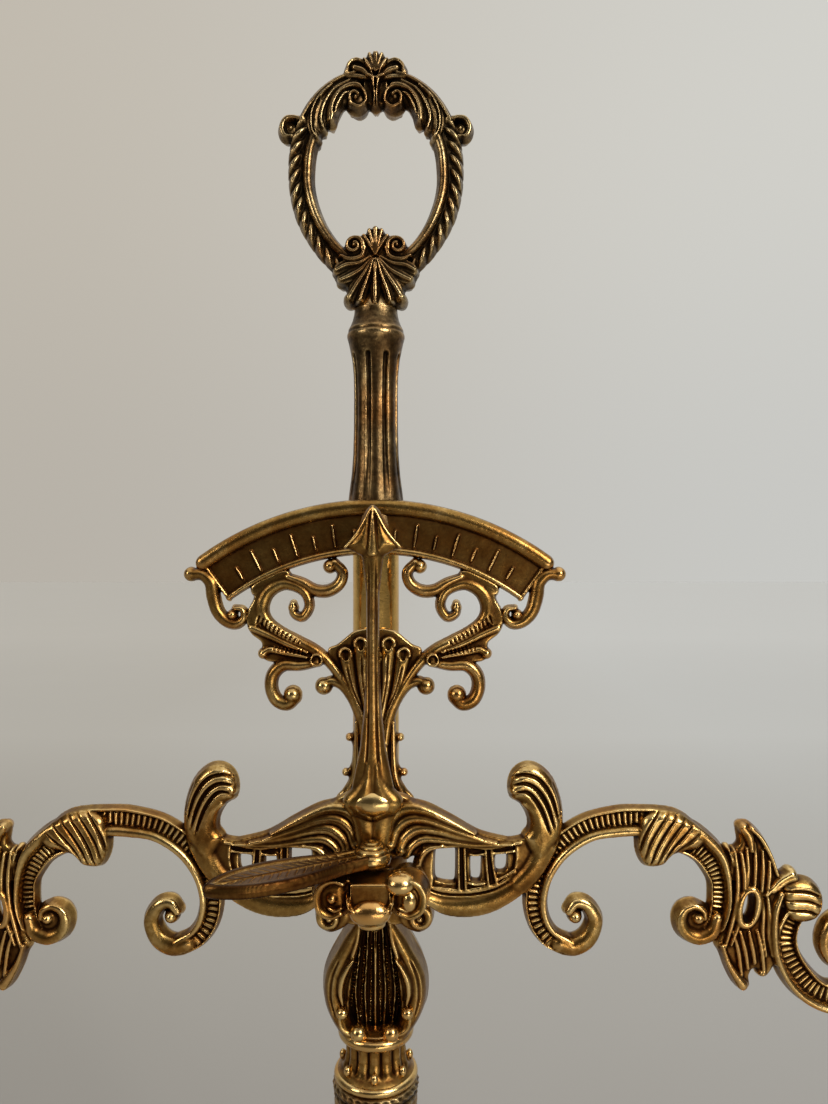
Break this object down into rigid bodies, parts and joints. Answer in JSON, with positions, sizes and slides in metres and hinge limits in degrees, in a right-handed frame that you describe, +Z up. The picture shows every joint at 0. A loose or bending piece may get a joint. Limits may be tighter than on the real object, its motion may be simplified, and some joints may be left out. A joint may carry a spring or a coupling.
{
  "type": "balance scale",
  "caption": "Decorative brass balance scale with a ring handle, arc dial, pointer, pierced scrolling beam, leaf locking lever and two chained pans on a round plinth.",
  "frame": {"origin": "on the table under the middle of the plinth", "axes": "+Z up, -Y towards the front where the pointer and the lever are, X along the beam"},
  "size_m": [0.492, 0.15, 0.64],
  "materials": {
    "gilt_brass": "satin cast, darkened in the recesses",
    "antique_brass": "antiqued, blackened in the recesses",
    "polished_brass": "polished",
    "steel": "turned",
    "marble": "polished marble"
  },
  "bodies": {
    "base": {"bun_feet": "gilt_brass", "plinth": "marble", "foot_casting": "antique_brass", "lower_column": "antique_brass", "bead_collar": "gilt_brass", "lyre_baluster": "gilt_brass", "bracket_head": "gilt_brass", "column_tube": "polished_brass", "fluted_sleeve": "antique_brass", "tie_rod": "steel", "tie_washer": "steel", "tie_nut": "steel", "ring_handle": "antique_brass", "dial_plate": "gilt_brass", "dial_screws": "steel", "pivot_pin": "steel", "pivot_collar": "steel", "pivot_clip": "steel"},
    "beam": {"beam": "gilt_brass", "beam_bushing": "steel", "pointer": "gilt_brass", "pointer_rivets": "polished_brass", "end_pins": "steel"},
    "lever": {"lock_lever": "gilt_brass", "lever_shaft": "steel", "lock_cam": "steel", "lever_clip": "steel"},
    "left_pan": {"stirrup_left": "polished_brass", "crown_left": "polished_brass", "chain_left_1": "polished_brass", "chain_left_2": "polished_brass", "chain_left_3": "polished_brass", "pan_left": "polished_brass"},
    "right_pan": {"stirrup_right": "polished_brass", "crown_right": "polished_brass", "chain_right_1": "polished_brass", "chain_right_2": "polished_brass", "chain_right_3": "polished_brass", "pan_right": "polished_brass"}
  },
  "joints": [
    {"name": "beam_swing", "type": "hinge", "parent": "base", "child": "beam", "pos_m": [0, -0.0205, 0.345], "axis": [0, 1, 0], "range_deg": [-12, 12]},
    {"name": "lever_turn", "type": "hinge", "parent": "base", "child": "lever", "pos_m": [0, -0.034, 0.33], "axis": [0, 0, 1], "range_deg": [0, 60]},
    {"name": "left_pan_swing", "type": "hinge", "parent": "beam", "child": "left_pan", "pos_m": [-0.188, -0.0205, 0.27], "axis": [0, 1, 0], "range_deg": [-20, 20]},
    {"name": "right_pan_swing", "type": "hinge", "parent": "beam", "child": "right_pan", "pos_m": [0.188, -0.0205, 0.27], "axis": [0, 1, 0], "range_deg": [-20, 20]}
  ]
}
